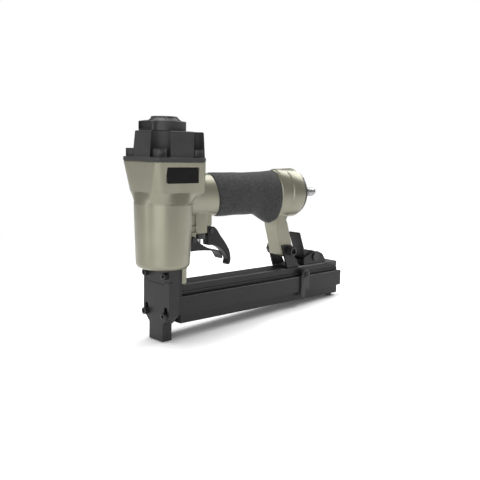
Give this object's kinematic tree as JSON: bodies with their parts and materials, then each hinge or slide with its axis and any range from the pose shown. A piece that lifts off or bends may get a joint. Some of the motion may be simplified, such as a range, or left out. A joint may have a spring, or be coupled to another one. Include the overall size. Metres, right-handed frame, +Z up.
{
  "type": "air nailer",
  "caption": "Pneumatic nailer for wide fasteners: square-headed engine, foam handle, flat slotted nose and a long box magazine with a sliding cover.",
  "frame": {"origin": "on the drive axis, at the underside of the nose tip", "axes": "+Z up the drive axis, -Y the front of the nose, +Y towards the handle's end, +X the side with the name plate"},
  "size_m": [0.056, 0.2894, 0.218],
  "materials": {
    "casting": "satin champagne paint",
    "name_plate": "bare matt black",
    "head_cap": "matt black coating",
    "black_screw": "black oxide",
    "seal_rubber": "smooth",
    "deflector": "matt moulded",
    "bright_steel": "turned",
    "piston_alloy": "turned",
    "bumper_rubber": "matt",
    "valve_plastic": "moulded",
    "spring_steel": "drawn wire",
    "grip_foam": "fine grained foam",
    "end_cap": "matt black coating",
    "lever_black": "satin black",
    "nose_black": "satin black oxide",
    "magazine_black": "black anodised",
    "wedge_plastic": "matt",
    "bracket_black": "satin black"
  },
  "bodies": {
    "tool": {"body_housing": "casting", "name_plate": "name_plate", "head_cap": "head_cap", "head_cap_screws": "black_screw", "head_seal": "seal_rubber", "deflector_screw": "black_screw", "cylinder_sleeve": "bright_steel", "bumper": "bumper_rubber", "head_valve_spring": "spring_steel", "grip_sleeve": "grip_foam", "end_cap": "end_cap", "end_cap_screws": "black_screw", "end_cap_seal": "seal_rubber", "air_plug": "bright_steel", "valve_body": "valve_plastic", "valve_spring": "spring_steel", "trigger_pin": "black_screw", "safety_lever_pin": "black_screw", "nose_block": "nose_black", "front_plate": "nose_black", "nose_screws": "black_screw", "magazine_body": "magazine_black", "end_wedge": "wedge_plastic", "lug_screws": "spring_steel", "rear_bracket": "bracket_black", "bracket_bolt": "black_screw", "bracket_nut": "black_screw", "cover_clips": "bracket_black", "clip_screws": "black_screw", "latch_housing": "bracket_black", "latch_pin": "black_screw", "latch_spring": "spring_steel"},
    "deflector": {"exhaust_deflector": "deflector"},
    "piston": {"piston": "piston_alloy", "piston_ring": "seal_rubber", "driver_blade": "bright_steel"},
    "head_valve": {"head_valve": "valve_plastic"},
    "trigger": {"trigger": "lever_black"},
    "safety_lever": {"safety_lever": "lever_black"},
    "valve_stem": {"valve_stem": "bright_steel"},
    "cover": {"magazine_cover": "magazine_black", "magazine_track": "bright_steel", "foot_screws": "black_screw", "pusher_rod": "spring_steel", "pusher_spring": "spring_steel"},
    "pusher": {"pusher": "bright_steel"},
    "latch": {"latch_lever": "lever_black"}
  },
  "joints": [
    {"name": "deflector_turn", "type": "hinge", "parent": "tool", "child": "deflector", "pos_m": [0, 0, 0.204], "axis": [0, 0, 1], "continuous": true},
    {"name": "piston_stroke", "type": "slide", "parent": "tool", "child": "piston", "axis": [0, 0, -1], "range_m": [0, 0.05]},
    {"name": "head_valve_lift", "type": "slide", "parent": "tool", "child": "head_valve", "axis": [0, 0, 1], "range_m": [0, 0.006], "stiffness_N_per_m": 800, "springref_m": -0.01, "deforming": ["head_valve_spring"]},
    {"name": "trigger_pull", "type": "hinge", "parent": "tool", "child": "trigger", "pos_m": [0, 0.0338, 0.0969], "axis": [1, 0, 0], "range_deg": [0, 6], "stiffness_Nm_per_rad": 0.5, "springref_deg": -22.92},
    {"name": "safety_lever_swing", "type": "hinge", "parent": "tool", "child": "safety_lever", "pos_m": [0, 0.059, 0.1049], "axis": [1, 0, 0], "range_deg": [0, 6.5], "stiffness_Nm_per_rad": 0.2, "springref_deg": -22.92},
    {"name": "valve_stem_lift", "type": "slide", "parent": "tool", "child": "valve_stem", "axis": [0, 0, 1], "range_m": [0, 0.0015], "deforming": ["valve_spring"]},
    {"name": "cover_slide", "type": "slide", "parent": "tool", "child": "cover", "axis": [0, 1, 0], "range_m": [0, 0.17]},
    {"name": "pusher_slide", "type": "slide", "parent": "cover", "child": "pusher", "axis": [0, 1, 0], "range_m": [0, 0.19], "stiffness_N_per_m": 30, "springref_m": -0.15, "deforming": ["pusher_spring"]},
    {"name": "latch_press", "type": "hinge", "parent": "tool", "child": "latch", "pos_m": [0, 0.2199, 0.0635], "axis": [1, 0, 0], "range_deg": [0, 12], "stiffness_Nm_per_rad": 0.6, "springref_deg": -22.92, "deforming": ["latch_spring"]}
  ],
  "couplings": [
    {"joint": "safety_lever_swing", "follows": "trigger_pull", "ratio": 1},
    {"joint": "valve_stem_lift", "follows": "trigger_pull", "m_per_rad": 0.0127}
  ]
}
